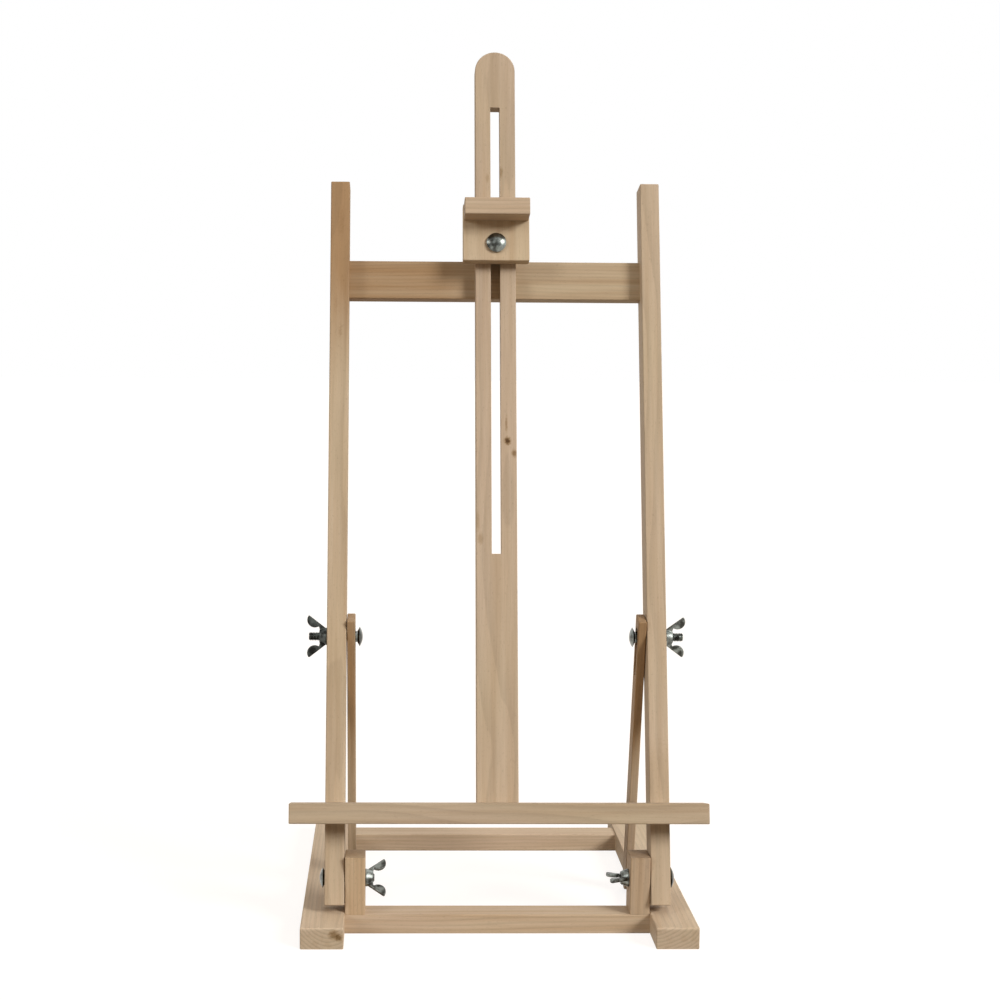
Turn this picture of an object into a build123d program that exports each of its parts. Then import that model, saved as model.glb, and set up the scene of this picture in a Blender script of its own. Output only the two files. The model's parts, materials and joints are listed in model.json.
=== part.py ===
from build123d import *
import math
import os

# Table-top artist easel. Millimetres, X to the right, Y to the back, Z up.
# The origin is the centre of the base on the ground, and the front faces -Y.

os.makedirs("parts", exist_ok=True)

# Base: two rails on the ground, joined by a front and a rear crossbar
BASE_WIDTH = 350.0
BASE_DEPTH = 356.0
RAIL_WIDTH = 38.0
RAIL_HEIGHT = 19.0
CROSSBAR_DEPTH = 26.0
CROSSBAR_HEIGHT = 17.4
CROSSBAR_Y = 125.0            # centre of either crossbar, to the front or the back
DOWEL_DIAMETER = 8.0
DOWEL_LENGTH = 40.0
DOWEL_SPACING = 15.0

# Pivot uprights on the ends of the front crossbar
UPRIGHT_OUTER_X = 136.7
UPRIGHT_WIDTH = 18.0
UPRIGHT_TOP = 69.5
PIVOT_Y = -CROSSBAR_Y
PIVOT_Z = 47.5

# Leaning frame: heights are measured up the posts from the pivot, and depths
# forward from the middle of the posts
FRAME_TILT = 13.8             # lean back from the vertical, degrees
POST_INNER_X = 137.3
POST_WIDTH = 17.7
POST_DEPTH = 26.0
POST_BOTTOM = -23.6
POST_TOP = 645.0
UPPER_BAR_BOTTOM = 535.2
UPPER_BAR_TOP = 571.6
UPPER_BAR_DEPTH = 13.0
MAST_WIDTH = 38.0
MAST_DEPTH = 13.0
MAST_TOP = 774.2
MAST_SLOT_WIDTH = 9.0
MAST_SLOT_BOTTOM = 292.1
MAST_SLOT_TOP = 719.1
TRAY_LENGTH = 372.0
TRAY_BOTTOM = 49.1
TRAY_HEIGHT = 18.0
TRAY_DEPTH = 30.0

# Canvas clamp on the mast
CLAMP_WIDTH = 62.0
CLAMP_BOTTOM = 565.4
CLAMP_TOP = 619.6
CLAMP_PLATE_DEPTH = 13.0
CLAMP_LIP_WIDTH = 60.5
CLAMP_LIP_HEIGHT = 16.0
CLAMP_LIP_DEPTH = 22.0
CLAMP_BOLT_HEIGHT = 582.4
CLAMP_GAP = 0.1               # sliding clearance of the plate and nut on the mast

# Slotted struts between the rails and the posts
STRUT_WIDTH = 20.0
STRUT_THICKNESS = 7.5
STRUT_FOOT_Y = -16.0
STRUT_FOOT_Z = 11.5
STRUT_BOLT_HEIGHT = 216.8     # up the post from the pivot
STRUT_TOP_MARGIN = 18.9       # wood beyond the bolt
STRUT_SLOT_WIDTH = 9.8
STRUT_SLIDE = 29.0            # how far the bolt slides down the slot
STRUT_SLOT_PLAY = 4.0         # beyond the bolt at either end, for its square neck
STRUT_BOLT_STANDOFF = 2.0     # square neck left standing out of the slot

# Hardware: 5/16 inch carriage bolts and wing nuts
BOLT_DIAMETER = 7.9
BOLT_LENGTH = 44.5
BOLT_HEAD_DIAMETER = 18.3
BOLT_HEAD_SEAT = 11.0         # flat middle of the head's underside
BOLT_HEAD_CONE = 1.9          # rise of the underside from there to the rim
BOLT_HEAD_HEIGHT = 4.8
BOLT_NECK = 7.9
BOLT_NECK_LENGTH = 4.4
BOLT_END_CHAMFER = 0.9
WOOD_HOLE = 8.3               # bolt hole through a piece that turns with the bolt
RUNNING_HOLE = 8.0            # bolt hole that turns on the bolt
NUT_BASE_RADIUS = 7.9
NUT_BASE_STEP = 1.2
NUT_TOP_RADIUS = 5.6
NUT_HUB_HEIGHT = 7.2
WING_THICKNESS = 3.2
WING_TAPER = 6.0
WING_TIP_RADIUS = 1.0
WING_NECK_RADIUS = 1.5

# Outline of a wing, out from and along the nut's axis: a straight outer edge from the
# root to the tip, a half-moon lobe back to the neck, then the hub
WING_ROOT = (6.9, 0.4)
WING_TIP = (19.6, 16.8)
WING_BULGE = (9.4, 15.7)
WING_NECK = (9.1, 7.7)
WING_HUB_TOP = (4.8, 6.6)
WING_HUB_FOOT = (4.8, 0.4)
PIVOT_NUT_TURN = {"left": 52.0, "right": 97.0}
STRUT_NUT_TURN = {"left": 8.0, "right": -10.0}

# Screws: diameter, length and head diameter
UPRIGHT_SCREW = (5.0, 36.0, 10.0)
BAR_SCREW = (5.0, 45.0, 10.0)
MAST_SCREW = (4.0, 22.0, 8.0)
TRAY_POST_SCREW = (5.0, 46.0, 10.0)
TRAY_MAST_SCREW = (4.0, 32.0, 8.0)
SCREW_TIP = 4.0
SCREW_TIP_RADIUS = 0.4
SCREW_PLAY = 0.1              # hole diameter over the screw's
SCREW_END_PLAY = 0.5
BAR_SCREW_SPACING = 18.0
MAST_SCREW_SPACING = 24.0
TRAY_MAST_SCREW_SPACING = 20.0
PIN_SHOULDER_DIAMETER = 6.0
PIN_HOLE = 6.1
PIN_HEAD_DIAMETER = 12.0
PIN_HEAD_HEIGHT = 3.5
PIN_HEAD_EASE = 1.4
PIN_THREAD_DIAMETER = 5.0
PIN_THREAD_LENGTH = 24.0

# Eased edges
WOOD_EASE = 1.0
FOOT_EASE = 2.2
SLOT_EASE = 0.6

SIDES = {"left": -1, "right": 1}

# Derived positions
rail_inner_x = BASE_WIDTH / 2 - RAIL_WIDTH
post_outer_x = POST_INNER_X + POST_WIDTH
post_front = POST_DEPTH / 2
tray_middle = TRAY_BOTTOM + TRAY_HEIGHT / 2
bar_middle = (UPPER_BAR_BOTTOM + UPPER_BAR_TOP) / 2
strut_inner_x = UPRIGHT_OUTER_X - STRUT_THICKNESS
clamp_back = post_front + CLAMP_GAP
clamp_front = clamp_back + CLAMP_PLATE_DEPTH

tilt = math.radians(FRAME_TILT)
lean_up = Vector(0, math.sin(tilt), math.cos(tilt))
lean_forward = Vector(0, -math.cos(tilt), math.sin(tilt))
pivot = Vector(0, PIVOT_Y, PIVOT_Z)

# Plane of the leaning frame, through the middle of the posts
frame_plane = Plane(origin=pivot, x_dir=(1, 0, 0), z_dir=lean_forward)

# The strut's foot, its bolt and the direction between them
strut_foot = Vector(0, STRUT_FOOT_Y, STRUT_FOOT_Z)
strut_bolt = pivot + lean_up * STRUT_BOLT_HEIGHT
strut_length = (strut_bolt - strut_foot).length
strut_up = (strut_bolt - strut_foot).normalized()


def frame_point(x, up, forward):
    """A point of the leaning frame."""
    return Vector(x, 0, 0) + pivot + lean_up * up + lean_forward * forward


def side_plane(x, origin, up):
    """A plane across X whose Y runs along up and whose X points to the back."""
    return Plane(
        origin=origin + Vector(x, 0, 0), x_dir=(0, up.Z, -up.Y), z_dir=(1, 0, 0)
    )


def turned_plane(origin, turn, z_dir):
    """A plane across X whose own X is turned from the vertical towards the back."""
    angle = math.radians(turn)
    return Plane(origin=origin, x_dir=(0, math.sin(angle), math.cos(angle)), z_dir=z_dir)


def save(piece, name):
    piece.part.label = name
    export_step(piece.part, f"parts/{name}.step")


# --- Base -------------------------------------------------------------------


def base_rail(side):
    with BuildPart() as rail:
        with BuildSketch():
            with Locations((side * (BASE_WIDTH - RAIL_WIDTH) / 2, 0)):
                Rectangle(RAIL_WIDTH, BASE_DEPTH)
        extrude(amount=RAIL_HEIGHT)
        ends = rail.faces().filter_by(Axis.Z).sort_by(Axis.Z)[-1].edges().filter_by(Axis.X)
        fillet(ends, radius=FOOT_EASE)
        fillet(rail.edges().filter_by(Axis.Y), radius=WOOD_EASE)
        # dowel holes from the inner face
        inward = Plane(origin=(side * rail_inner_x, 0, 0), x_dir=(0, 1, 0), z_dir=(-side, 0, 0))
        with BuildSketch(inward):
            with Locations(*[(y, side * -CROSSBAR_HEIGHT / 2) for y in dowel_rows()]):
                Circle((DOWEL_DIAMETER + SCREW_PLAY) / 2)
        extrude(amount=-DOWEL_LENGTH / 2, mode=Mode.SUBTRACT)
        # hole for the strut's pivot pin
        with BuildSketch(inward):
            with Locations((STRUT_FOOT_Y, side * -STRUT_FOOT_Z)):
                Circle((PIN_THREAD_DIAMETER + SCREW_PLAY) / 2)
        extrude(amount=-PIN_THREAD_LENGTH - SCREW_PLAY, mode=Mode.SUBTRACT)
    return rail


def dowel_rows():
    """The Y of every dowel: two in each crossbar."""
    half = DOWEL_SPACING / 2
    return [row * CROSSBAR_Y + shift for row in (-1, 1) for shift in (-half, half)]


def base_crossbar(row):
    with BuildPart() as bar:
        with BuildSketch():
            with Locations((0, row * CROSSBAR_Y)):
                Rectangle(2 * rail_inner_x, CROSSBAR_DEPTH)
        extrude(amount=CROSSBAR_HEIGHT)
        fillet(bar.edges().filter_by(Axis.X), radius=WOOD_EASE)
        for end in (-1, 1):
            with BuildSketch(Plane.YZ.offset(end * rail_inner_x)):
                with Locations((row * CROSSBAR_Y, CROSSBAR_HEIGHT / 2)):
                    with GridLocations(DOWEL_SPACING, 0, 2, 1):
                        Circle((DOWEL_DIAMETER + SCREW_PLAY) / 2)
            extrude(amount=-end * DOWEL_LENGTH / 2, mode=Mode.SUBTRACT)
        if row < 0:
            for side in (-1, 1):
                add(screw_cavity(upright_screw_plane(side), UPRIGHT_SCREW), mode=Mode.SUBTRACT)
    return bar


def base_dowels():
    with BuildPart() as dowels:
        with BuildSketch(Plane.YZ.offset(rail_inner_x - DOWEL_LENGTH / 2)):
            with Locations(*[(y, CROSSBAR_HEIGHT / 2) for y in dowel_rows()]):
                Circle(DOWEL_DIAMETER / 2)
        extrude(amount=DOWEL_LENGTH)
        mirror(about=Plane.YZ)
    return dowels


def pivot_upright(side):
    x = side * (UPRIGHT_OUTER_X - UPRIGHT_WIDTH / 2)
    with BuildPart() as upright:
        with BuildSketch(Plane.XY.offset(CROSSBAR_HEIGHT)):
            with Locations((x, PIVOT_Y)):
                Rectangle(UPRIGHT_WIDTH, CROSSBAR_DEPTH)
        extrude(amount=UPRIGHT_TOP - CROSSBAR_HEIGHT)
        foot = upright.faces().sort_by(Axis.Z)[0].edges()
        fillet(upright.edges() - foot, radius=WOOD_EASE)
        with BuildSketch(Plane.YZ.offset(x - UPRIGHT_WIDTH / 2)):
            with Locations((PIVOT_Y, PIVOT_Z)):
                Circle(RUNNING_HOLE / 2)
        extrude(amount=UPRIGHT_WIDTH, mode=Mode.SUBTRACT)
        add(screw_cavity(upright_screw_plane(side), UPRIGHT_SCREW), mode=Mode.SUBTRACT)
    return upright


def upright_screw_plane(side):
    x = side * (UPRIGHT_OUTER_X - UPRIGHT_WIDTH / 2)
    return Plane(origin=(x, PIVOT_Y, 0), x_dir=(1, 0, 0), z_dir=(0, 0, -1))


# --- Fasteners --------------------------------------------------------------


def wood_screw(size):
    """A countersunk screw, its head's face at the origin and its point along -Z."""
    diameter, length, head = size
    shank = diameter / 2
    cone = head / 2 - shank
    with BuildPart() as screw:
        with BuildSketch(Plane.XZ):
            with BuildLine():
                Polyline(
                    (0, 0),
                    (head / 2, 0),
                    (shank, -cone),
                    (shank, SCREW_TIP - length),
                    (SCREW_TIP_RADIUS, -length),
                    (0, -length),
                    close=True,
                )
            make_face()
        revolve(axis=Axis.Z)
    return screw.part


def screw_cavity(plane, size):
    """What a screw takes out of the wood round it."""
    diameter, length, head = size
    shank = (diameter + SCREW_PLAY) / 2
    mouth = (head + SCREW_PLAY) / 2
    with BuildPart(plane) as cavity:
        Cylinder(shank, length + SCREW_END_PLAY, align=(Align.CENTER, Align.CENTER, Align.MAX))
        Cone(
            shank, mouth, mouth - shank, align=(Align.CENTER, Align.CENTER, Align.MAX)
        )
    return cavity.part


def screw_set(planes, size):
    screw = wood_screw(size)
    with BuildPart() as screws:
        with Locations(*planes):
            add(screw)
    return screws


def carriage_bolt(plane):
    """A domed bolt with a square neck; its shank runs along -Z from the head."""
    seat = BOLT_HEAD_SEAT / 2
    rim = (BOLT_HEAD_DIAMETER / 2, BOLT_HEAD_CONE)
    crown = (0, BOLT_HEAD_HEIGHT)
    with BuildPart() as bolt:
        with BuildSketch(Plane.XZ):
            with BuildLine():
                Polyline(crown, (0, 0), (seat, 0), rim)
                TangentArc(crown, rim, tangent=(1, 0))
            make_face()
        revolve(axis=Axis.Z)
        with BuildSketch():
            Circle(BOLT_DIAMETER / 2)
        extrude(amount=-BOLT_LENGTH)
        chamfer(bolt.faces().sort_by(Axis.Z)[0].edges(), length=BOLT_END_CHAMFER)
        with BuildSketch():
            Rectangle(BOLT_NECK, BOLT_NECK)
        extrude(amount=-BOLT_NECK_LENGTH)
    with BuildPart(plane) as placed:
        add(bolt.part)
    return placed


def wing_nut(plane):
    """A nut with two half-moon wings, seated on the plane and rising along its Z."""
    with BuildPart() as nut:
        with BuildSketch(Plane.XZ) as wing:
            with BuildLine():
                Polyline(WING_NECK, WING_HUB_TOP, WING_HUB_FOOT, WING_ROOT, WING_TIP)
                ThreePointArc(WING_TIP, WING_BULGE, WING_NECK)
            make_face()
            corners = wing.vertices()
            fillet(corners.sort_by(Axis.X)[-1], radius=WING_TIP_RADIUS)
            fillet(corners.sort_by_distance(WING_NECK)[0], radius=WING_NECK_RADIUS)
        extrude(amount=WING_THICKNESS / 2, both=True, taper=WING_TAPER)
        mirror(about=Plane.YZ)
        with BuildSketch(Plane.XZ):
            with BuildLine():
                Polyline(
                    (0, 0),
                    (NUT_BASE_RADIUS, 0),
                    (NUT_BASE_RADIUS, NUT_BASE_STEP),
                    (NUT_TOP_RADIUS, NUT_HUB_HEIGHT),
                    (0, NUT_HUB_HEIGHT),
                    close=True,
                )
            make_face()
        revolve(axis=Axis.Z)
        with BuildSketch():
            Circle(RUNNING_HOLE / 2)
        extrude(amount=NUT_HUB_HEIGHT, mode=Mode.SUBTRACT)
    with BuildPart(plane) as placed:
        add(nut.part)
    return placed


# --- Leaning frame ----------------------------------------------------------


def bar_screw_planes(side):
    """Screws through the post's outer face into the end of the upper bar."""
    return [
        Plane(
            origin=frame_point(side * post_outer_x, bar_middle + up, -UPPER_BAR_DEPTH / 2),
            x_dir=lean_up,
            z_dir=(side, 0, 0),
        )
        for up in (-BAR_SCREW_SPACING / 2, BAR_SCREW_SPACING / 2)
    ]


def rear_screw_plane(x, up, forward):
    """A screw driven forward from the back of the frame."""
    return Plane(origin=frame_point(x, up, forward), x_dir=(1, 0, 0), z_dir=-lean_forward)


def tray_post_screw_plane(side):
    return rear_screw_plane(side * (POST_INNER_X + POST_WIDTH / 2), tray_middle, -post_front)


def tray_mast_screw_planes():
    half = TRAY_MAST_SCREW_SPACING / 2
    return [rear_screw_plane(x, tray_middle, 0) for x in (-half, half)]


def mast_screw_planes():
    half = MAST_SCREW_SPACING / 2
    return [rear_screw_plane(x, bar_middle, -UPPER_BAR_DEPTH) for x in (-half, half)]


def side_post(side):
    inner = side_plane(side * POST_INNER_X, pivot, lean_up)
    with BuildPart() as post:
        with BuildSketch(inner):
            with Locations((0, (POST_BOTTOM + POST_TOP) / 2)):
                Rectangle(POST_DEPTH, POST_TOP - POST_BOTTOM)
        extrude(amount=side * POST_WIDTH)
        fillet(post.edges(), radius=WOOD_EASE)
        with BuildSketch(inner):
            with Locations((0, 0), (0, STRUT_BOLT_HEIGHT)):
                Circle(WOOD_HOLE / 2)
        extrude(amount=side * POST_WIDTH, mode=Mode.SUBTRACT)
        # the pivot bolt's square neck sits in the outer face
        with BuildSketch(side_plane(side * post_outer_x, pivot, lean_up)):
            Rectangle(BOLT_NECK, BOLT_NECK)
        extrude(amount=-side * BOLT_NECK_LENGTH, mode=Mode.SUBTRACT)
        for plane in bar_screw_planes(side):
            add(screw_cavity(plane, BAR_SCREW), mode=Mode.SUBTRACT)
        add(screw_cavity(tray_post_screw_plane(side), TRAY_POST_SCREW), mode=Mode.SUBTRACT)
    return post


def upper_crossbar():
    with BuildPart() as bar:
        with BuildSketch(frame_plane.offset(-UPPER_BAR_DEPTH)):
            with Locations((0, bar_middle)):
                Rectangle(2 * POST_INNER_X, UPPER_BAR_TOP - UPPER_BAR_BOTTOM)
        extrude(amount=UPPER_BAR_DEPTH)
        fillet(bar.edges().filter_by(Axis.X), radius=WOOD_EASE)
        for side in (-1, 1):
            for plane in bar_screw_planes(side):
                add(screw_cavity(plane, BAR_SCREW), mode=Mode.SUBTRACT)
        for plane in mast_screw_planes():
            add(screw_cavity(plane, MAST_SCREW), mode=Mode.SUBTRACT)
    return bar


def slotted_mast():
    shoulder = MAST_TOP - MAST_WIDTH / 2
    with BuildPart() as mast:
        with BuildSketch(frame_plane):
            with Locations((0, (TRAY_BOTTOM + shoulder) / 2)):
                Rectangle(MAST_WIDTH, shoulder - TRAY_BOTTOM)
            with Locations((0, shoulder)):
                Circle(MAST_WIDTH / 2)
        extrude(amount=MAST_DEPTH)
        fillet(mast.edges(), radius=WOOD_EASE)
        with BuildSketch(frame_plane):
            with Locations((0, (MAST_SLOT_BOTTOM + MAST_SLOT_TOP) / 2)):
                RectangleRounded(
                    MAST_SLOT_WIDTH, MAST_SLOT_TOP - MAST_SLOT_BOTTOM, radius=SLOT_EASE
                )
        extrude(amount=MAST_DEPTH, mode=Mode.SUBTRACT)
        for plane in mast_screw_planes():
            add(screw_cavity(plane, MAST_SCREW), mode=Mode.SUBTRACT)
        for plane in tray_mast_screw_planes():
            add(screw_cavity(plane, TRAY_MAST_SCREW), mode=Mode.SUBTRACT)
    return mast


def canvas_tray():
    with BuildPart() as tray:
        with BuildSketch(frame_plane.offset(post_front)):
            with Locations((0, tray_middle)):
                Rectangle(TRAY_LENGTH, TRAY_HEIGHT)
        extrude(amount=TRAY_DEPTH)
        fillet(tray.edges(), radius=WOOD_EASE)
        for side in (-1, 1):
            add(screw_cavity(tray_post_screw_plane(side), TRAY_POST_SCREW), mode=Mode.SUBTRACT)
        for plane in tray_mast_screw_planes():
            add(screw_cavity(plane, TRAY_MAST_SCREW), mode=Mode.SUBTRACT)
    return tray


# --- Struts -----------------------------------------------------------------


def strut(side):
    inner = side_plane(side * strut_inner_x, strut_foot, strut_up)
    slot_top = strut_length + STRUT_SLOT_PLAY
    slot_travel = STRUT_SLIDE + 2 * STRUT_SLOT_PLAY
    with BuildPart() as link:
        with BuildSketch(inner):
            Circle(STRUT_WIDTH / 2)
            with Locations((0, (strut_length + STRUT_TOP_MARGIN) / 2)):
                Rectangle(STRUT_WIDTH, strut_length + STRUT_TOP_MARGIN)
        extrude(amount=side * STRUT_THICKNESS)
        fillet(link.edges(), radius=WOOD_EASE)
        with BuildSketch(inner):
            Circle(PIN_HOLE / 2)
            with Locations((0, slot_top - slot_travel / 2)):
                SlotCenterToCenter(slot_travel, STRUT_SLOT_WIDTH, rotation=90)
        extrude(amount=side * STRUT_THICKNESS, mode=Mode.SUBTRACT)
    return link


def strut_pin(side):
    """A shoulder screw: the strut turns on its shoulder, its thread is in the rail."""
    shoulder = rail_inner_x - strut_inner_x
    plane = Plane(
        origin=(side * strut_inner_x, STRUT_FOOT_Y, STRUT_FOOT_Z), z_dir=(-side, 0, 0)
    )
    with BuildPart() as pin:
        with BuildSketch():
            Circle(PIN_HEAD_DIAMETER / 2)
        extrude(amount=PIN_HEAD_HEIGHT)
        chamfer(pin.edges().group_by(Axis.Z)[-1], length=PIN_HEAD_EASE)
        with BuildSketch():
            Circle(PIN_SHOULDER_DIAMETER / 2)
        extrude(amount=-shoulder)
        with BuildSketch(Plane.XY.offset(-shoulder)):
            Circle(PIN_THREAD_DIAMETER / 2)
        extrude(amount=-PIN_THREAD_LENGTH)
    with BuildPart(plane) as placed:
        add(pin.part)
    return placed


# --- Canvas clamp -----------------------------------------------------------


def clamp_plate():
    with BuildPart() as plate:
        with BuildSketch(frame_plane.offset(clamp_back)):
            with Locations((0, (CLAMP_BOTTOM + CLAMP_TOP) / 2)):
                Rectangle(CLAMP_WIDTH, CLAMP_TOP - CLAMP_BOTTOM)
        extrude(amount=CLAMP_PLATE_DEPTH)
        fillet(plate.edges(), radius=WOOD_EASE)
        with BuildSketch(frame_plane.offset(clamp_back)):
            with Locations((0, CLAMP_BOLT_HEIGHT)):
                Circle(WOOD_HOLE / 2)
        extrude(amount=CLAMP_PLATE_DEPTH, mode=Mode.SUBTRACT)
        with BuildSketch(frame_plane.offset(clamp_front)):
            with Locations((0, CLAMP_BOLT_HEIGHT)):
                Rectangle(BOLT_NECK, BOLT_NECK)
        extrude(amount=-BOLT_NECK_LENGTH, mode=Mode.SUBTRACT)
    return plate


def clamp_lip():
    with BuildPart() as lip:
        with BuildSketch(frame_plane.offset(clamp_front)):
            with Locations((0, CLAMP_TOP - CLAMP_LIP_HEIGHT / 2)):
                Rectangle(CLAMP_LIP_WIDTH, CLAMP_LIP_HEIGHT)
        extrude(amount=CLAMP_LIP_DEPTH)
        fillet(lip.edges(), radius=WOOD_EASE)
    return lip


# --- Write every piece ------------------------------------------------------

for name, row in (("front_crossbar", -1), ("rear_crossbar", 1)):
    save(base_crossbar(row), name)
save(base_dowels(), "base_dowels")
save(screw_set([upright_screw_plane(side) for side in (-1, 1)], UPRIGHT_SCREW), "upright_screws")

for name, side in SIDES.items():
    outward = (side, 0, 0)
    inward = (-side, 0, 0)
    save(base_rail(side), f"base_rail_{name}")
    save(pivot_upright(side), f"pivot_upright_{name}")
    save(side_post(side), f"side_post_{name}")
    save(strut(side), f"strut_{name}")
    save(strut_pin(side), f"strut_pivot_screw_{name}")

    # pivot bolt: head on the post's outer face, wing nut inside the upright
    head = Plane(frame_point(side * post_outer_x, 0, 0), x_dir=lean_up, z_dir=outward)
    upright_inner = side * (UPRIGHT_OUTER_X - UPRIGHT_WIDTH)
    seat = turned_plane(frame_point(upright_inner, 0, 0), PIVOT_NUT_TURN[name], inward)
    save(carriage_bolt(head), f"pivot_bolt_{name}")
    save(wing_nut(seat), f"wing_nut_pivot_{name}")

    # strut bolt: head inside, its square neck in the strut's slot, nut outside
    head_x = side * (strut_inner_x - STRUT_BOLT_STANDOFF)
    head = Plane(frame_point(head_x, STRUT_BOLT_HEIGHT, 0), x_dir=strut_up, z_dir=inward)
    seat = turned_plane(
        frame_point(side * post_outer_x, STRUT_BOLT_HEIGHT, 0), STRUT_NUT_TURN[name], outward
    )
    save(carriage_bolt(head), f"strut_bolt_{name}")
    save(wing_nut(seat), f"wing_nut_strut_{name}")

save(upper_crossbar(), "upper_crossbar")
save(
    screw_set([plane for side in (-1, 1) for plane in bar_screw_planes(side)], BAR_SCREW),
    "crossbar_screws",
)
save(slotted_mast(), "mast")
save(screw_set(mast_screw_planes(), MAST_SCREW), "mast_screws")
save(canvas_tray(), "tray")
save(
    screw_set([tray_post_screw_plane(side) for side in (-1, 1)], TRAY_POST_SCREW),
    "tray_post_screws",
)
save(screw_set(tray_mast_screw_planes(), TRAY_MAST_SCREW), "tray_mast_screws")

# clamp bolt: head on the plate, wing nut behind the mast
save(clamp_plate(), "clamp_plate")
save(clamp_lip(), "clamp_lip")
clamp_head = Plane(
    frame_point(0, CLAMP_BOLT_HEIGHT, clamp_front), x_dir=(1, 0, 0), z_dir=lean_forward
)
clamp_seat = Plane(
    frame_point(0, CLAMP_BOLT_HEIGHT, -CLAMP_GAP), x_dir=(1, 0, 0), z_dir=-lean_forward
)
save(carriage_bolt(clamp_head), "clamp_bolt")
save(wing_nut(clamp_seat), "clamp_wing_nut")
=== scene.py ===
import json
import math

import bmesh
import bpy
from mathutils import Matrix, Vector


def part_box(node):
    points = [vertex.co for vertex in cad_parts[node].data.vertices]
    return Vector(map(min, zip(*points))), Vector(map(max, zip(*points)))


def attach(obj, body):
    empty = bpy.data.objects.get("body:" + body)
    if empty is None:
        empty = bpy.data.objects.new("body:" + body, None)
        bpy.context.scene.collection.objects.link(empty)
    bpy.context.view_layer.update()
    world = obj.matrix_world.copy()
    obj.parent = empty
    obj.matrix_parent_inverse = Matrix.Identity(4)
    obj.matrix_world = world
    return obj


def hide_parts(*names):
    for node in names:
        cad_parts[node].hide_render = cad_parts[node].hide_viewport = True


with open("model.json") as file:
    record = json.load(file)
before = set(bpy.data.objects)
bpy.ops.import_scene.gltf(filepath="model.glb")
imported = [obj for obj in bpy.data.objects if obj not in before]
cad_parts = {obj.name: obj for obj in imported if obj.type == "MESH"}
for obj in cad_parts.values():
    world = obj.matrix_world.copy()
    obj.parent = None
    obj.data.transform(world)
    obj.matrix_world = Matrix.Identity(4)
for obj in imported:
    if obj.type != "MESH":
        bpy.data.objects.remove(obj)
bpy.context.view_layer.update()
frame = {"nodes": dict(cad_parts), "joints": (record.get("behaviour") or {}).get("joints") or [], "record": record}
nodes = frame["nodes"]

MM = 0.001

# --- Camera: place in millimetres in the part's frame, angles in radians --------

CAMERA_PLACE = (-95.7, -1678.0, 545.3)
CAMERA_YAW = 0.0206
CAMERA_PITCH = 0.1001
CAMERA_ROLL = 0.0065
CAMERA_FOCAL = 1.7710          # in picture widths
CAMERA_SHIFT = 0.0711          # in picture widths
CAMERA_REACH = 50.0            # how far it sees, in metres
SENSOR = 36.0


def make_camera():
    sin_yaw, cos_yaw = math.sin(CAMERA_YAW), math.cos(CAMERA_YAW)
    sin_pitch, cos_pitch = math.sin(CAMERA_PITCH), math.cos(CAMERA_PITCH)
    sin_roll, cos_roll = math.sin(CAMERA_ROLL), math.cos(CAMERA_ROLL)
    level = Vector((cos_yaw, -sin_yaw, 0))
    ahead = Vector((sin_yaw * cos_pitch, cos_yaw * cos_pitch, -sin_pitch))
    up = Vector((sin_yaw * sin_pitch, cos_yaw * sin_pitch, cos_pitch))
    right = level * cos_roll + up * sin_roll
    upright = up * cos_roll - level * sin_roll
    data = bpy.data.cameras.new("camera")
    data.sensor_width = SENSOR
    data.lens = CAMERA_FOCAL * SENSOR
    data.shift_x = CAMERA_SHIFT
    data.clip_end = CAMERA_REACH
    camera = bpy.data.objects.new("camera", data)
    turn = turned_to(right, upright, -ahead)
    camera.matrix_world = Matrix.Translation(Vector(CAMERA_PLACE) * MM) @ turn
    bpy.context.scene.collection.objects.link(camera)
    bpy.context.scene.camera = camera


def turned_to(x, y, z):
    """The rotation that turns the X, Y and Z axes to these directions."""
    return Matrix((x, y, z)).transposed().to_4x4()


make_camera()

# --- Directions and places in the part ------------------------------------------

joints = {joint["name"]: joint for joint in frame["joints"]}
node_bodies = {
    node: body
    for body, names in frame["record"]["behaviour"]["bodies"].items()
    for node in names
}

ACROSS = Vector((1, 0, 0))
BACK = Vector((0, 1, 0))
UP = Vector((0, 0, 1))

# The leaning frame: up its posts, and out of its front
PIVOT = Vector(joints["frame_tilt"]["pos_m"])
LEAN_UP = Vector(joints["clamp_slide"]["axis"]).normalized()
LEAN_FORWARD = ACROSS.cross(LEAN_UP)

# The struts, from the screw at the foot to the bolt, seen from the side
STRUT_FOOT = Vector(joints["strut_swing_right"]["pos_m"])
STRUT_BOLT = Vector(joints["strut_nut_turn_right"]["pos_m"])
STRUT_UP = STRUT_BOLT - STRUT_FOOT
STRUT_UP.x = 0
STRUT_UP.normalize()


def frame_point(x, up, forward):
    """A point given in millimetres from the leaning frame's pivot, in metres."""
    return ACROSS * (x * MM) + PIVOT + LEAN_UP * (up * MM) + LEAN_FORWARD * (forward * MM)


def middle(name):
    """The middle of a node's box."""
    low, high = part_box(name)
    return (low + high) / 2


def reach_along(name, direction):
    """How far a node reaches along a direction, in metres from the origin."""
    return max(vertex.co.dot(direction) for vertex in nodes[name].data.vertices)


# --- Shader node helpers --------------------------------------------------------


def new_material(name):
    material = bpy.data.materials.new(name)
    material.use_nodes = True
    tree = material.node_tree
    return material, tree, tree.nodes["Principled BSDF"]


def add(tree, kind, inputs=None, **settings):
    """A new shader node. An input is a value, or a socket to link to it."""
    made = tree.nodes.new(kind)
    for key, value in settings.items():
        setattr(made, key, value)
    for key, value in (inputs or {}).items():
        if isinstance(value, bpy.types.NodeSocket):
            tree.links.new(value, made.inputs[key])
        else:
            made.inputs[key].default_value = value
    return made


def maths(tree, operation, *values, clamp=False):
    return add(
        tree, "ShaderNodeMath", dict(enumerate(values)), operation=operation, use_clamp=clamp
    ).outputs[0]


def vectors(tree, operation, inputs, output="Vector"):
    return add(tree, "ShaderNodeVectorMath", inputs, operation=operation).outputs[output]


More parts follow.
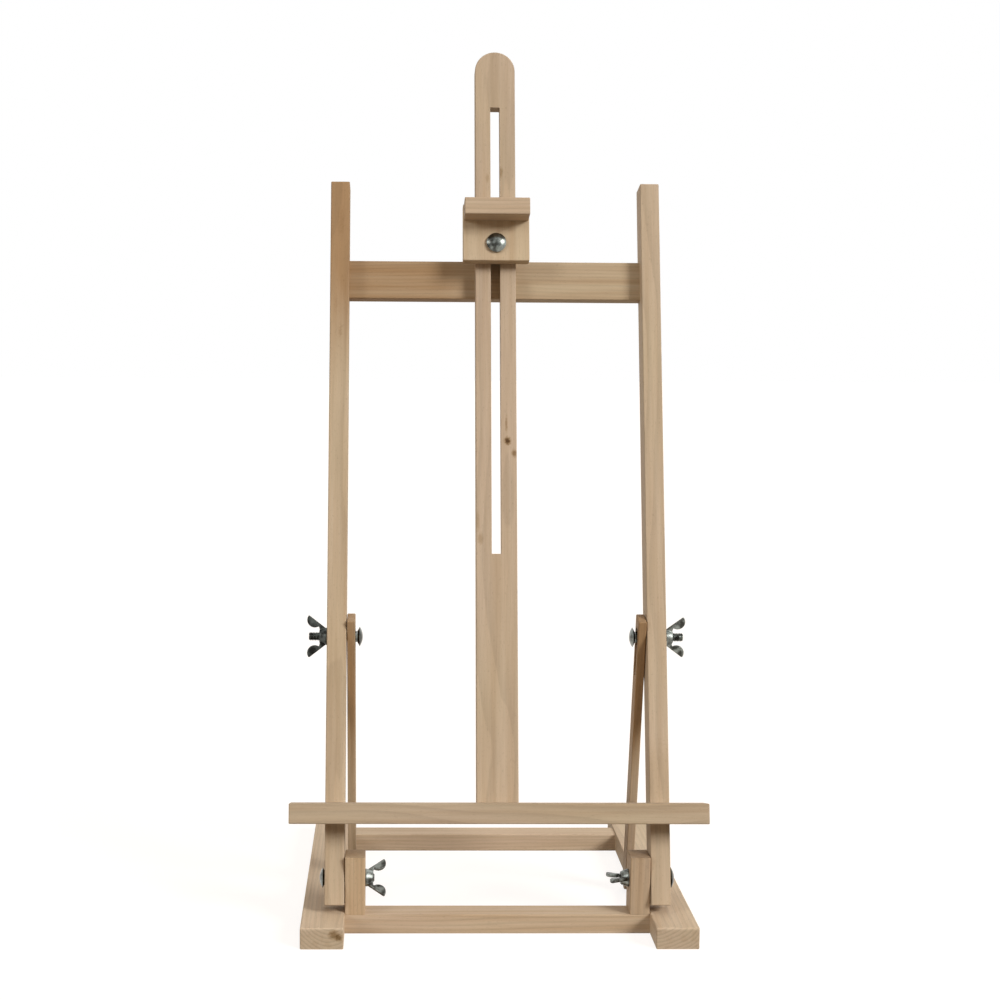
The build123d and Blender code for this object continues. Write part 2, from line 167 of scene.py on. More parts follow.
def dot(tree, vector, direction):
    return vectors(tree, "DOT_PRODUCT", {0: vector, 1: tuple(direction)}, "Value")


def product(tree, factors):
    total = factors[0]
    for factor in factors[1:]:
        total = maths(tree, "MULTIPLY", total, factor)
    return total


def spread(tree, value, low, high, to_low=0.0, to_high=1.0):
    """value's stretch from low to high, eased and clamped to to_low and to_high."""
    return add(
        tree,
        "ShaderNodeMapRange",
        {0: value, 1: low, 2: high, 3: to_low, 4: to_high},
        interpolation_type="SMOOTHSTEP",
    ).outputs[0]


def noise(tree, place, scale, detail=2.0, roughness=0.5):
    """Noise of the given features per metre along each axis, about 0.25 to 0.75."""
    scaled = vectors(tree, "MULTIPLY", {0: place, 1: scale})
    return add(
        tree,
        "ShaderNodeTexNoise",
        {"Vector": scaled, "Scale": 1.0, "Detail": detail, "Roughness": roughness},
    ).outputs["Fac"]


# The mix node has an A and a B for each kind of data. These are the colours'.
MIX_AMOUNT, MIX_FIRST, MIX_SECOND = 0, 6, 7
MIX_RESULT = 2


def blended(tree, amount, first, second, blend="MIX"):
    return add(
        tree,
        "ShaderNodeMix",
        {MIX_AMOUNT: amount, MIX_FIRST: first, MIX_SECOND: second},
        data_type="RGBA",
        blend_type=blend,
    ).outputs[MIX_RESULT]


def linear(red, green, blue):
    """An sRGB colour of 0 to 255 as the linear colour that a shader takes."""
    parts = [value / 255 for value in (red, green, blue)]
    return tuple(
        part / 12.92 if part <= 0.04045 else ((part + 0.055) / 1.055) ** 2.4 for part in parts
    ) + (1.0,)


# --- Beech ----------------------------------------------------------------------

PINK = linear(200, 177, 153)
STRAW = linear(197, 177, 146)
BROWN = linear(165, 132, 95)

RING_WIDTH = 0.0034            # from one growth ring to the next, in metres
RING_WANDER = 0.022            # how far the rings bend along a piece, in metres
RING_RIPPLE = 0.0016           # how deep their finer waves are, in metres

# Features per metre of each noise: two ways across the grain, and along it
RING_BENDS = (12, 12, 2.5)
RING_WAVES = (90, 90, 7)
FIBRES = (1500, 1500, 38)
PORES = (2300, 2300, 230)
RAYS = (700, 2600, 300)
STREAKS = (170, 170, 5)
CLOUDS = (16, 16, 5)

# How much darker the wood is where each is strongest than where it is weakest
LATE_WOOD_DARK = 0.10
FIBRE_DARK = 0.26
PORE_DARK = 0.16
RAY_DARK = 0.12
END_GRAIN_DARK = 0.13
END_RING_DARK = 0.07           # the late wood's, in end grain, on top of its own

CLOUD_CONTRAST = 1.6           # how sharply pink and straw part
STREAK_CONTRAST = 1.1          # how sharply the brown streaks stand out
STREAK_FLOOR = 0.52            # taken off them, so that the faint ones don't show

WOOD_ROUGHNESS = 0.50          # and more with the fibres
FIBRE_ROUGHNESS = 0.22
WOOD_SPECULAR = 0.22           # low, as the wood is unfinished
WOOD_BUMP = 0.0002             # height of the pores and fibres, in metres
WOOD_BUMP_STRENGTH = 0.35

# Knots and marks, and patches of painted shade
MARK_EDGE_NOISE = (500, 500, 500)
MARK_RAGGED = 0.9              # how far the noise pulls its edge in, in radii
MARK_FADE = (0.75, 1.75)       # where its fade starts and ends without it, in radii
MARK_RED, MARK_BLUE = 0.8, 1.35  # powers of its light, which make it browner


def beech(name, grain, heart, seed, pink=0.5, depth=0.0, shade=1.0, browner=None, spots=()):
    """Unfinished beech. grain is the direction of the fibres, heart where the rings'
    centre lies across them in metres, pink the share of the pinkish tone, depth how much
    brown heartwood shows and shade how light the piece is. browner is (from, to, amount):
    the wood turns browner from one place to the other along the grain. spots are
    (place, radius, strength, stretch along the grain)."""
    material, tree, shader = new_material(name)
    coordinates = add(tree, "ShaderNodeTexCoord")
    place = coordinates.outputs["Object"]
    side = ACROSS if abs(grain.dot(ACROSS)) < 0.5 else BACK
    axes = [dot(tree, place, axis) for axis in (side, grain.cross(side).normalized(), grain)]
    offsets = (seed, -seed, seed * 3.7)
    parts = [maths(tree, "ADD", axis, offset) for axis, offset in zip(axes, offsets)]
    local = add(tree, "ShaderNodeCombineXYZ", dict(enumerate(parts))).outputs[0]

    late = late_wood(tree, local, axes, heart)
    fibres = noise(tree, local, FIBRES, detail=3, roughness=0.6)
    pores = spread(tree, noise(tree, local, PORES, detail=1), 0.66, 0.74)
    rays = spread(tree, noise(tree, local, RAYS, detail=1), 0.66, 0.72)

    # end grain shows where the surface faces along the fibres
    facing = dot(tree, coordinates.outputs["Normal"], grain)
    end = spread(tree, maths(tree, "ABSOLUTE", facing), 0.55, 0.9)

    colour = wood_colour(tree, local, axes[2], grain, pink, depth, browner)
    end_rings = maths(tree, "MULTIPLY", end, maths(tree, "MULTIPLY", late, END_RING_DARK))
    level = product(
        tree,
        [
            maths(tree, "MULTIPLY_ADD", late, -LATE_WOOD_DARK * shade, shade),
            maths(tree, "MULTIPLY_ADD", fibres, -FIBRE_DARK, 1.0 + FIBRE_DARK / 2),
            maths(tree, "MULTIPLY_ADD", pores, -PORE_DARK, 1.0),
            maths(tree, "MULTIPLY_ADD", rays, -RAY_DARK, 1.0),
            maths(tree, "MULTIPLY_ADD", end, -END_GRAIN_DARK, 1.0),
            maths(tree, "SUBTRACT", 1.0, end_rings),
        ],
    )
    grey = add(tree, "ShaderNodeCombineColor", {0: level, 1: level, 2: level}).outputs[0]
    colour = blended(tree, 1.0, colour, grey, blend="MULTIPLY")
    if spots:
        colour = marked(tree, colour, [spot_light(tree, place, grain, *spot) for spot in spots])
    tree.links.new(colour, shader.inputs["Base Color"])

    rough = maths(tree, "MULTIPLY_ADD", fibres, FIBRE_ROUGHNESS, WOOD_ROUGHNESS)
    tree.links.new(rough, shader.inputs["Roughness"])
    shader.inputs["Specular IOR Level"].default_value = WOOD_SPECULAR
    height = maths(tree, "MULTIPLY_ADD", fibres, 0.7, maths(tree, "MULTIPLY", pores, -0.5))
    height = maths(tree, "MULTIPLY_ADD", late, 0.25, height)
    bump = add(
        tree,
        "ShaderNodeBump",
        {"Strength": WOOD_BUMP_STRENGTH, "Distance": WOOD_BUMP, "Height": height},
    )
    tree.links.new(bump.outputs[0], shader.inputs["Normal"])
    return material


def late_wood(tree, local, axes, heart):
    """1 in the darker late wood of each ring: the distance from the heart, bent a little
    along the piece, repeats once a ring."""
    wander = noise(tree, local, RING_BENDS, detail=2)
    ripple = noise(tree, local, RING_WAVES, detail=2)
    offsets = [maths(tree, "SUBTRACT", axis, centre) for axis, centre in zip(axes, heart)]
    squares = [maths(tree, "MULTIPLY", offset, offset) for offset in offsets]
    radius = maths(tree, "SQRT", maths(tree, "ADD", *squares))
    bent = maths(tree, "MULTIPLY_ADD", wander, RING_WANDER, radius)
    bent = maths(tree, "MULTIPLY_ADD", ripple, RING_RIPPLE, bent)
    phase = maths(tree, "FRACT", maths(tree, "DIVIDE", bent, RING_WIDTH))
    return maths(
        tree, "MULTIPLY", spread(tree, phase, 0.35, 0.93), spread(tree, phase, 1.0, 0.95)
    )


def wood_colour(tree, local, along, grain, pink, depth, browner):
    """The wood's pink, straw and brown tones, before the rings and pores darken it."""
    streaks = noise(tree, local, STREAKS, detail=3)
    clouds = noise(tree, local, CLOUDS, detail=2)
    level = pink - CLOUD_CONTRAST / 2
    tone = maths(tree, "MULTIPLY_ADD", clouds, CLOUD_CONTRAST, level, clamp=True)
    colour = blended(tree, tone, STRAW, PINK)
    brown = maths(tree, "MULTIPLY_ADD", streaks, STREAK_CONTRAST, depth - STREAK_FLOOR)
    if browner:
        start, finish, amount = browner
        turned = spread(tree, along, start.dot(grain), finish.dot(grain), 0.0, amount)
        brown = maths(tree, "ADD", brown, turned)
    brown = maths(tree, "MINIMUM", maths(tree, "MAXIMUM", brown, 0.0), 1.0)
    return blended(tree, brown, colour, BROWN)


def marked(tree, colour, lights):
    """The colour darkened by knots, marks and patches of painted shade, which are browner than the wood."""
    light = product(tree, lights)
    red, blue = (maths(tree, "POWER", light, power) for power in (MARK_RED, MARK_BLUE))
    tint = add(tree, "ShaderNodeCombineColor", {0: red, 1: light, 2: blue}).outputs[0]
    return blended(tree, 1.0, colour, tint, blend="MULTIPLY")


def spot_light(tree, place, grain, centre, size, strength, stretch):
    """How much light a knot, mark or patch of painted shade leaves: 1 away from it, less at its middle."""
    away = vectors(tree, "SUBTRACT", {0: place, 1: tuple(centre)})
    along = dot(tree, away, grain)
    shorter = maths(tree, "MULTIPLY", along, 1 / stretch - 1)
    squash = vectors(tree, "SCALE", {0: tuple(grain), 3: shorter})
    shaped = vectors(tree, "ADD", {0: away, 1: squash})
    distance = vectors(tree, "LENGTH", {0: shaped}, "Value")
    edge = noise(tree, place, MARK_EDGE_NOISE)
    ragged = maths(tree, "MULTIPLY_ADD", edge, size * MARK_RAGGED, distance)
    start, finish = (size * radii for radii in MARK_FADE)
    return spread(tree, ragged, start, finish, 1.0 - strength, 1.0)


# --- Zinc plate -----------------------------------------------------------------

# The zinc's tones are darker than the plating itself: painted reflection of dark surroundings.
ZINC_TONES_WITH_PAINTED_REFLECTION = ((58, 58, 54), (132, 137, 132))  # its darkest and lightest, in sRGB
ZINC_BUMP = 0.0003             # height of its grains, in metres
ZINC_BLOTCHES = (160, 160, 160)  # features per metre, as the next
ZINC_GRAINS = (1400, 1400, 1400)
ZINC_VARIES = 0.20             # how much its roughness varies
TURNED = (0.24, 0.08)          # polish and grit
CAST = (0.42, 0.30)


def zinc(name, polish, grit, shade=1.0):
    """Zinc-plated steel: polish is its middle roughness, grit the strength of its bumps and shade how light it is,
    which for the wing nuts is painted reflection."""
    material, tree, shader = new_material(name)
    place = add(tree, "ShaderNodeTexCoord").outputs["Object"]
    blotches = noise(tree, place, ZINC_BLOTCHES, detail=4)
    grains = noise(tree, place, ZINC_GRAINS, detail=3)
    # the colour goes patchily between the two tones: the plating's own patches, and painted reflection
    plating_and_painted_reflection = spread(tree, blotches, 0.36, 0.66)
    dark, light = ([part * shade for part in linear(*tone)[:3]] + [1.0] for tone in ZINC_TONES_WITH_PAINTED_REFLECTION)
    colour = blended(tree, plating_and_painted_reflection, dark, light)
    tree.links.new(colour, shader.inputs["Base Color"])
    shader.inputs["Metallic"].default_value = 1.0
    rough = maths(tree, "MULTIPLY_ADD", blotches, ZINC_VARIES, polish - ZINC_VARIES / 2)
    tree.links.new(rough, shader.inputs["Roughness"])
    bump = add(
        tree, "ShaderNodeBump", {"Strength": grit, "Distance": ZINC_BUMP, "Height": grains}
    )
    tree.links.new(bump.outputs[0], shader.inputs["Normal"])
    return material


def dress(name, material):
    """Gives a CAD node a material in place of its own."""
    for slot in nodes[name].material_slots:
        slot.material = material


# --- The wooden pieces ----------------------------------------------------------

# Knots and marks in the leaning frame, and painted shade low on the right post, in millimetres from its pivot:
# across, up, radius, strength and stretch along the grain. Each FRONT is how far forward they lie.
MAST_FRONT = 13.0
MAST_MARKS = (
    (10.4, 397.3, 3.3, 0.90, 1.2),
    (16.6, 385.6, 2.6, 0.60, 1.5),
    (9.4, 413.0, 1.2, 0.40, 7.0),
    (-15.0, 306.0, 3.2, 0.24, 1.8),
    (-17.5, 322.0, 2.0, 0.22, 5.0),
    (5.0, 655.0, 2.2, 0.36, 2.6),
    (-7.5, 649.0, 1.8, 0.20, 2.6),
)
LEFT_POST_FRONT = 10.0
LEFT_POST_MARKS = (
    (-145.0, 500.0, 3.4, 0.40, 3.0),
    (-149.0, 526.0, 3.4, 0.24, 4.0),
    (-145.0, 606.0, 4.5, 0.18, 4.0),
)
RIGHT_POST_FRONT = 9.0
# A faint darker patch low on the right post: painted shade
RIGHT_POST_PAINTED_SHADE = ((146.0, 92.0, 26.0, 0.13, 1.2),)

# The stain on the end of the left rail: in from its inner edge, down from its top,
# radius, strength and stretch
FOOT_MARKS = (
    (8.5, 6.0, 4.6, 0.55, 0.5),
    (4.0, 8.5, 3.4, 0.68, 0.5),
)

# Painted shade on the top end of each upright, where the tray shades it, on top of the end grain's own darkening:
# radius in metres, strength and stretch
UPRIGHT_TOP_PAINTED_SHADE = (0.016, 0.30, 0.15)

# Where the wood turns browner, in millimetres: up the left post, along the upper crossbar and down from the bolt
# on each strut. The struts' turn, browner and darker toward their tops, is painted shade.
POST_TURN = (430.0, 590.0)
BAR_TURN = (10.0, -60.0)
STRUT_PAINTED_SHADE_TURN = (150.0, 60.0)

SEED_STEP = 1.31               # between one piece's noise and the next's


def frame_marks(marks, front):
    return tuple(
        (frame_point(across, up, front), radius * MM, strength, stretch)
        for across, up, radius, strength, stretch in marks
    )


def foot_marks():
    low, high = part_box("base_rail_left")
    return tuple(
        (Vector((high.x - inward * MM, low.y, high.z - down * MM)), radius * MM, strength, stretch)
        for inward, down, radius, strength, stretch in FOOT_MARKS
    )


# Painted shade on an upright's top end, where the tray shades it
def upright_painted_shade(side):
    name = "pivot_upright_" + side
    end = middle(name)
    end.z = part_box(name)[1].z
    return ((end, *UPRIGHT_TOP_PAINTED_SHADE),)


def dress_wood():
    post_turn = (*(frame_point(0, up, 0) for up in POST_TURN), 1.0)
    bar_turn = (*(frame_point(x, 0, 0) for x in BAR_TURN), 0.60)
    # the struts' browner turn toward their tops is painted shade
    strut_painted_shade_turn = tuple(STRUT_BOLT - STRUT_UP * (down * MM) for down in STRUT_PAINTED_SHADE_TURN)
    # node: grain, heart of the rings, pink, depth, shade, where it turns browner, spots. The struts' turns and the
    # spots on the right post and the uprights are painted shade.
    pieces = {
        "base_rail_left": (BACK, (-0.150, -0.030), 0.50, 0.00, 1.11, None, foot_marks()),
        "base_rail_right": (BACK, (0.130, -0.055), 0.45, 0.00, 1.10),
        "front_crossbar": (ACROSS, (-0.160, 0.040), 0.60, 0.22, 1.12),
        "rear_crossbar": (ACROSS, (0.120, -0.035), 0.60, 0.20, 1.12),
        "base_dowels": (ACROSS, (0.0, 0.0), 0.5, 0.1, 1.0),
        "pivot_upright_left": (
            UP, (-0.100, -0.160), 0.45, 0.38, 1.20, None, upright_painted_shade("left"),
        ),
        "pivot_upright_right": (
            UP, (0.160, -0.090), 0.70, 0.42, 1.00, None, upright_painted_shade("right"),
        ),
        "side_post_left": (
            LEAN_UP, (-0.175, 0.030), 0.45, 0.08, 1.0, post_turn,
            frame_marks(LEFT_POST_MARKS, LEFT_POST_FRONT),
        ),
        "side_post_right": (
            LEAN_UP, (0.175, -0.025), 0.50, 0.05, 0.985, None,
            frame_marks(RIGHT_POST_PAINTED_SHADE, RIGHT_POST_FRONT),
        ),
        "upper_crossbar": (ACROSS, (0.040, 0.060), 0.10, 0.24, 0.95, bar_turn),
        "mast": (
            LEAN_UP, (0.010, -0.060), 0.66, 0.08, 0.95, None, frame_marks(MAST_MARKS, MAST_FRONT),
        ),
        "tray": (ACROSS, (-0.080, 0.070), 0.45, 0.10, 0.86),
        "strut_left": (STRUT_UP, (-0.100, 0.050), 0.40, 0.25, 1.0, (*strut_painted_shade_turn, 0.60)),
        "strut_right": (STRUT_UP, (0.160, 0.040), 0.45, 0.20, 0.97, (*strut_painted_shade_turn, 1.0)),
        "clamp_plate": (LEAN_UP, (0.015, 0.050), 0.30, 0.10, 1.10),
        "clamp_lip": (ACROSS, (0.020, 0.040), 0.60, 0.20, 1.0),
    }
    for index, (name, (grain, heart, *rest)) in enumerate(pieces.items()):
        dress(name, beech("beech_" + name, grain, heart, SEED_STEP * (index + 1), *rest))


dress_wood()

# --- Bolts, screws and wing nuts, in millimetres --------------------------------

ROUND = 48                     # columns round a bolt or screw, a multiple of 8
SHARP_EDGE = 38                # degrees from which an edge is left sharp
BOLT_RADIUS = 3.95
BOLT_LENGTH = 44.5
BOLT_END_CHAMFER = 0.9
HEAD_RADIUS = 9.15
HEAD_SEAT = 5.5                # radius of the flat middle of its underside
HEAD_CONE = 1.9                # rise of the underside from there to the rim
HEAD_HEIGHT = 4.8
HEAD_RIM = ((0.02, 0.02), (-0.12, 0.28))  # its rounding: up from the cone, in from the rim
HEAD_ROWS = 10
HEAD_LAST_ROW = 0.985          # where the last one lies, short of the rim
NECK_HALF = 3.95
NECK_CORNER = 5.4
NECK_LENGTH = 4.4
NECK_FOOT = 0.3                # height of the step from the neck to the shank
NECK_TOP = 0.05                # and of the one from the seat to the neck
THREAD_PITCH = 25.4 / 18
THREAD_DEPTH = 0.78
THREAD_LENGTH = 22.2
THREAD_STEPS = 8               # rows to a turn
THREAD_SLOPE = 2.6             # of its sides, in depths to a pitch
THREAD_CREST = 0.25            # cut off the crests to flatten them, in depths
SCREW_TIP = 4.0                # length of the tapered end
SCREW_TIP_RADIUS = 0.4
SCREW_EASE = 0.02              # how far the head's rim lies inside its radius
SCREW_RIM = ((0.01, 0.05), (0.12, 0.0))  # its rounding: down from the face, in from the rim
SCREW_NECK = 0.05              # how far the shank starts below the head's cone
SCREW_HEAD_ROWS = 20
SCREW_TURN = 0.7               # how far each screw is turned on from the last, in radians
RECESS_RADIUS = 0.52           # of the screw head's radius
RECESS_HALF = 0.13             # half the width of the cross's arms, of the same
RECESS_DEPTH = 1.5
RECESS_END = 0.35              # length of the slope at the end of an arm
RECESS_WALL = 0.5              # width of the slope at its sides, of half the arms' width
RECESS_RISE = 0.45             # how much shallower it gets over the head's diameter
SAME_FACE = 0.05               # points this near a screw's end belong to its head's face
SAME_POINT = 0.01              # points this near each other are one
NUT_WELD = 0.02
NUT_VOXEL = 0.34
NUT_SMOOTHING = {"factor": 0.5, "iterations": 5}
# How light each wing nut's zinc is: painted reflection, as the nuts differ only in what they reflect
NUT_PAINTED_REFLECTIONS = {"wing_nut_strut_left": 0.38, "wing_nut_strut_right": 1.1}
OTHER_NUT_PAINTED_REFLECTION = 1.25               # of the other wing nuts

# node: diameter, length and head diameter, and the way that the heads face
SCREWS = {
    "upright_screws": (5.0, 36.0, 10.0, -UP),
    "crossbar_screws": (5.0, 45.0, 10.0, ACROSS),
    "mast_screws": (4.0, 22.0, 8.0, -LEAN_FORWARD),
    "tray_post_screws": (5.0, 46.0, 10.0, -LEAN_FORWARD),
    "tray_mast_screws": (4.0, 32.0, 8.0, -LEAN_FORWARD),
}


def ringed_mesh(name, rows):
    """A closed skin from rows of (height, radius), from the top down. Either may be a
    function of the angle."""

    def at(value, angle):
        return value(angle) if callable(value) else value

    angles = [2 * math.pi * step / ROUND for step in range(ROUND)]
    points = [(0, 0, at(rows[0][0], 0.0))]
    for height, radius in rows:
        for angle in angles:
            reach = at(radius, angle)
            points.append((reach * math.cos(angle), reach * math.sin(angle), at(height, angle)))
    points.append((0, 0, rows[-1][0]))
    last = len(points) - 1
    faces = []
    for step in range(ROUND):
        after = (step + 1) % ROUND
        faces.append((0, 1 + step, 1 + after))
        for row in range(len(rows) - 1):
            start = 1 + row * ROUND
            faces.append(
                (start + step, start + ROUND + step, start + ROUND + after, start + after)
            )
        start = 1 + (len(rows) - 1) * ROUND
        faces.append((start + step, last, start + after))
    mesh = bpy.data.meshes.new(name)
    mesh.from_pydata([[value * MM for value in point] for point in points], [], faces)
    mesh.polygons.foreach_set("use_smooth", [True] * len(mesh.polygons))
    mesh.set_sharp_from_angle(angle=math.radians(SHARP_EDGE))
    return mesh


def neck_radius(angle):
    """The square neck's outline, its corners eased."""
    return min(NECK_HALF / max(abs(math.cos(angle)), abs(math.sin(angle))), NECK_CORNER)


def thread_radius(z):
    """The bolt's radius at a height, by angle: a right-hand V thread, flat at crest and
    root, which deepens over its first turn."""
    limit = BOLT_RADIUS - max(0.0, BOLT_END_CHAMFER - (z + BOLT_LENGTH))
    start = min(1.0, max(0.0, (THREAD_LENGTH - BOLT_LENGTH - z) / THREAD_PITCH))

    def radius(angle):
        phase = (z / THREAD_PITCH - angle / (2 * math.pi)) % 1.0
        valley = (0.5 - abs(phase - 0.5)) * THREAD_SLOPE - THREAD_CREST
        return min(limit, BOLT_RADIUS - THREAD_DEPTH * max(0.0, min(1.0, valley)) * start)

    return radius


def bolt_mesh():
    """A carriage bolt, with the seat of its head at the origin."""
    dome = HEAD_HEIGHT - HEAD_CONE
    ball = (HEAD_RADIUS**2 + dome**2) / (2 * dome)
    reach = math.asin(HEAD_RADIUS / ball)
    rows = []
    for step in range(1, HEAD_ROWS + 1):
        angle = reach * min(step / HEAD_ROWS, HEAD_LAST_ROW)
        rows.append((HEAD_HEIGHT - ball * (1 - math.cos(angle)), ball * math.sin(angle)))
    rows += [(HEAD_CONE + up, HEAD_RADIUS - inward) for up, inward in HEAD_RIM]
    rows.append((0.0, HEAD_SEAT))
    rows.append((-NECK_TOP, neck_radius))
    rows.append((-NECK_LENGTH + NECK_FOOT, neck_radius))
    rows.append((-NECK_LENGTH, BOLT_RADIUS))
    for step in range(int(THREAD_LENGTH / THREAD_PITCH * THREAD_STEPS) + 1):
        z = THREAD_LENGTH - BOLT_LENGTH - step * THREAD_PITCH / THREAD_STEPS
        rows.append((z, thread_radius(z)))
    rows.append((-BOLT_LENGTH, thread_radius(-BOLT_LENGTH)))
    return ringed_mesh("carriage_bolt", rows)


def screw_mesh(name, diameter, length, head):
    """A countersunk screw with a cross recess, its head's face at the origin."""
    half_arm = RECESS_HALF * head / 2

    def recessed(radius):
        def height(angle):
            x, y = abs(radius * math.cos(angle)), abs(radius * math.sin(angle))
            across = (half_arm * (1 + RECESS_WALL / 2) - min(x, y)) / (half_arm * RECESS_WALL)
            along = (RECESS_RADIUS * head / 2 - max(x, y)) / RECESS_END
            shallower = 1 - RECESS_RISE * max(x, y) / head
            return -RECESS_DEPTH * max(0.0, min(1.0, across, along)) * shallower

        return height

    rim = head / 2 - SCREW_EASE
    shank = diameter / 2
    rows = [
        (recessed(rim * step / SCREW_HEAD_ROWS), rim * step / SCREW_HEAD_ROWS)
        for step in range(1, SCREW_HEAD_ROWS)
    ]
    rows += [(-down, rim - inward) for down, inward in SCREW_RIM]
    rows.append((-(head / 2 - shank) - SCREW_NECK, shank))
    rows.append((SCREW_TIP - length, shank))
    rows.append((-length, SCREW_TIP_RADIUS))
    return ringed_mesh(name, rows)


def new_piece(name, mesh):
    piece = bpy.data.objects.new(name, mesh)
    bpy.context.scene.collection.objects.link(piece)
    return piece


def take_over(piece, name):
    """The piece rides on the CAD node's body and shows in its place."""
    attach(piece, node_bodies[name])
    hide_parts(name)


def fit_bolt(mesh, name, seat, outward, up):
    """Puts a bolt's head on its seat, facing outward, with its square neck in line."""
    across = up.cross(outward).normalized()
    turn = turned_to(across, outward.cross(across), outward)
    piece = new_piece(name + "_threaded", mesh)
    piece.matrix_world = Matrix.Translation(seat) @ turn
    take_over(piece, name)


def make_bolts(material):
    mesh = bolt_mesh()
    mesh.materials.append(material)
    for side, sign in (("left", -1), ("right", 1)):
        for kind, outward, up in (("pivot", sign, LEAN_UP), ("strut", -sign, STRUT_UP)):
            name = f"{kind}_bolt_{side}"
            low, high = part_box(name)
            seat = middle(name)
            seat.x = (high.x if outward > 0 else low.x) - outward * HEAD_HEIGHT * MM
            fit_bolt(mesh, name, seat, ACROSS * outward, up)
    seat = Vector(joints["clamp_nut_turn"]["pos_m"])
    seat += LEAN_FORWARD * (reach_along("clamp_plate", LEAN_FORWARD) - seat.dot(LEAN_FORWARD))
    fit_bolt(mesh, "clamp_bolt", seat, LEAN_FORWARD, LEAN_UP)


def solids_of(name):
    """The points of each separate solid in a CAD node."""
    shell = bmesh.new()
    shell.from_mesh(nodes[name].data)
    bmesh.ops.remove_doubles(shell, verts=shell.verts, dist=SAME_POINT * MM)
    shell.verts.index_update()
    found = set()
    solids = []
    for vertex in shell.verts:
        if vertex.index in found:
            continue
        found.add(vertex.index)
        points, waiting = [], [vertex]
        while waiting:
            reached = waiting.pop()
            points.append(reached.co.copy())
            for edge in reached.link_edges:
                other = edge.other_vert(reached)
                if other.index not in found:
                    found.add(other.index)
                    waiting.append(other)
        solids.append(points)
    shell.free()
    return solids


def screw_placing(points, outward, turned):
    """Where a screw goes: the middle of the solid's head, turned about its axis."""
    reach = max(point.dot(outward) for point in points)
    face = [point for point in points if point.dot(outward) > reach - SAME_FACE * MM]
    origin = sum(face, Vector()) / len(face)
    across = (UP if abs(outward.z) < 0.9 else BACK).cross(outward).normalized()
    across = Matrix.Rotation(turned, 3, outward) @ across
    return Matrix.Translation(origin) @ turned_to(across, outward.cross(across), outward)


def make_screws(material):
    """Screws with a cross recess, one piece for each CAD node of them."""
    turned = 0.0
    for name, (diameter, length, head, facing) in SCREWS.items():
        screw = screw_mesh(name + "_one", diameter, length, head)
        joined = bmesh.new()
        for points in solids_of(name):
            # the crossbar's screws go in from either side
            inverted = facing == ACROSS and points[0].x < 0
            turned += SCREW_TURN
            placed = screw.copy()
            placed.transform(screw_placing(points, -facing if inverted else facing, turned))
            joined.from_mesh(placed)
        mesh = bpy.data.meshes.new(name + "_recessed")
        joined.to_mesh(mesh)
        joined.free()
        mesh.materials.append(material)
        take_over(new_piece(name + "_recessed", mesh), name)


def make_wing_nuts():
    """Cast wing nuts: the CAD shape with its edges rounded over."""
    for name in [name for name in nodes if "wing_nut" in name]:
        material = zinc("zinc_" + name, *CAST, NUT_PAINTED_REFLECTIONS.get(name, OTHER_NUT_PAINTED_REFLECTION))
        mesh = nodes[name].data.copy()
        mesh.name = name + "_cast"
        mesh.materials.clear()
        mesh.materials.append(material)
        piece = new_piece(name + "_cast", mesh)
        for kind, settings in (
            ("WELD", {"merge_threshold": NUT_WELD * MM}),
            ("REMESH", {"mode": "VOXEL", "voxel_size": NUT_VOXEL * MM, "use_smooth_shade": True}),
            ("SMOOTH", NUT_SMOOTHING),
        ):
            modifier = piece.modifiers.new(kind.lower(), kind)
            for key, value in settings.items():
                setattr(modifier, key, value)
        depsgraph = bpy.context.evaluated_depsgraph_get()
        piece.data = bpy.data.meshes.new_from_object(piece.evaluated_get(depsgraph))
        piece.modifiers.clear()
        take_over(piece, name)


def dress_metal():
    turned = zinc("zinc_turned", *TURNED)
    for side in ("left", "right"):
        dress("strut_pivot_screw_" + side, turned)
    make_bolts(turned)
    make_screws(turned)
    make_wing_nuts()


dress_metal()

# --- Stage and light ------------------------------------------------------------

FLOOR_SIZE = 30.0
FLOOR_TONE = (0.32, 0.27, 0.22, 1.0)  # its own colour, which tints the light it gives back
FLOOR_ROUGHNESS = 0.9
FLOOR_GLOW = 0.84              # added where the floor is seen, so that it is white
AMBIENT = 0.12
AMBIENT_TINT = (1.0, 0.74, 0.50, 1.0)
WHITE = (1.0, 1.0, 1.0, 1.0)

# Studio lamps: name, degrees to the right of the front, height in degrees, width, strength
LAMPS = (
    ("key", 50, 30, 22, 2.52),
    ("fill", -55, 24, 18, 0.88),
    ("top", 10, 76, 40, 0.56),
    ("back", 170, 50, 40, 0.50),
)


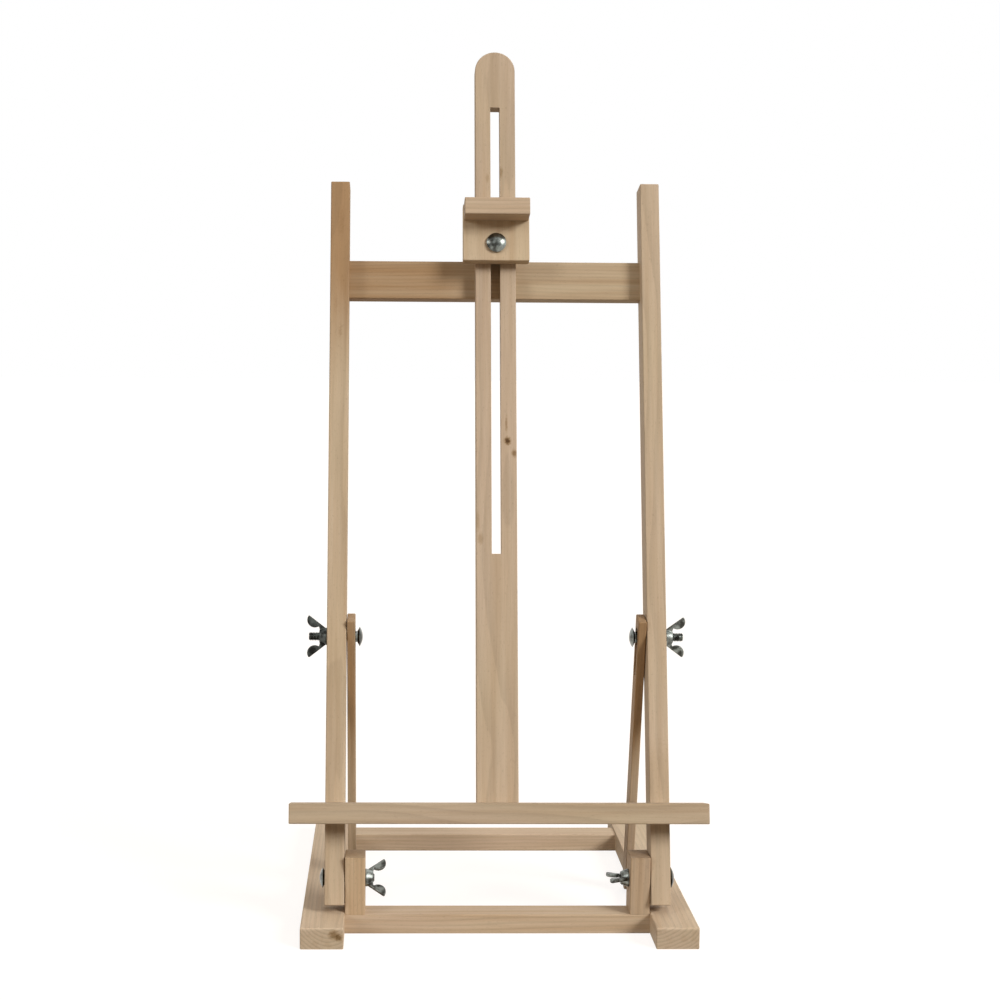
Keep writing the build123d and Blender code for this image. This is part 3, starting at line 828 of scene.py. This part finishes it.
def seen(tree):
    """1 for what the camera sees, directly or in gloss and glass, and 0 for the light."""
    path = add(tree, "ShaderNodeLightPath").outputs
    either = maths(tree, "MAXIMUM", path["Is Camera Ray"], path["Is Glossy Ray"])
    return maths(tree, "MAXIMUM", either, path["Is Transmission Ray"])


def make_floor():
    bpy.ops.mesh.primitive_plane_add(size=FLOOR_SIZE, location=(0, 0, 0))
    floor = bpy.context.object
    floor.name = "floor"
    material, tree, shader = new_material("floor_paper")
    shader.inputs["Base Color"].default_value = FLOOR_TONE
    shader.inputs["Roughness"].default_value = FLOOR_ROUGHNESS
    shader.inputs["Specular IOR Level"].default_value = 0.0
    glow = add(
        tree, "ShaderNodeEmission", {"Strength": maths(tree, "MULTIPLY", seen(tree), FLOOR_GLOW)}
    )
    both = add(tree, "ShaderNodeAddShader", {0: shader.outputs[0], 1: glow.outputs[0]})
    tree.links.new(both.outputs[0], tree.nodes["Material Output"].inputs["Surface"])
    floor.data.materials.append(material)


def make_world():
    world = bpy.data.worlds.new("studio")
    bpy.context.scene.world = world
    world.use_nodes = True
    tree = world.node_tree
    tree.nodes.clear()
    visible = seen(tree)
    strength = maths(tree, "MULTIPLY_ADD", visible, 1.0 - AMBIENT, AMBIENT)
    colour = blended(tree, visible, AMBIENT_TINT, WHITE)
    sky = add(tree, "ShaderNodeBackground", {"Color": colour, "Strength": strength})
    out = add(tree, "ShaderNodeOutputWorld")
    tree.links.new(sky.outputs[0], out.inputs[0])


def make_lamp(name, turn, height, width, strength):
    """A soft lamp so far away that its light falls evenly."""
    turn, height = math.radians(turn), math.radians(height)
    towards = Vector(
        (math.sin(turn) * math.cos(height), -math.cos(turn) * math.cos(height), math.sin(height))
    )
    data = bpy.data.lights.new(name, "SUN")
    data.angle = math.radians(width)
    data.energy = strength
    lamp = bpy.data.objects.new(name, data)
    lamp.rotation_euler = (-towards).to_track_quat("-Z", "Y").to_euler()
    bpy.context.scene.collection.objects.link(lamp)


make_floor()
make_world()
for lamp in LAMPS:
    make_lamp(*lamp)
bpy.context.scene.view_settings.view_transform = "Standard"
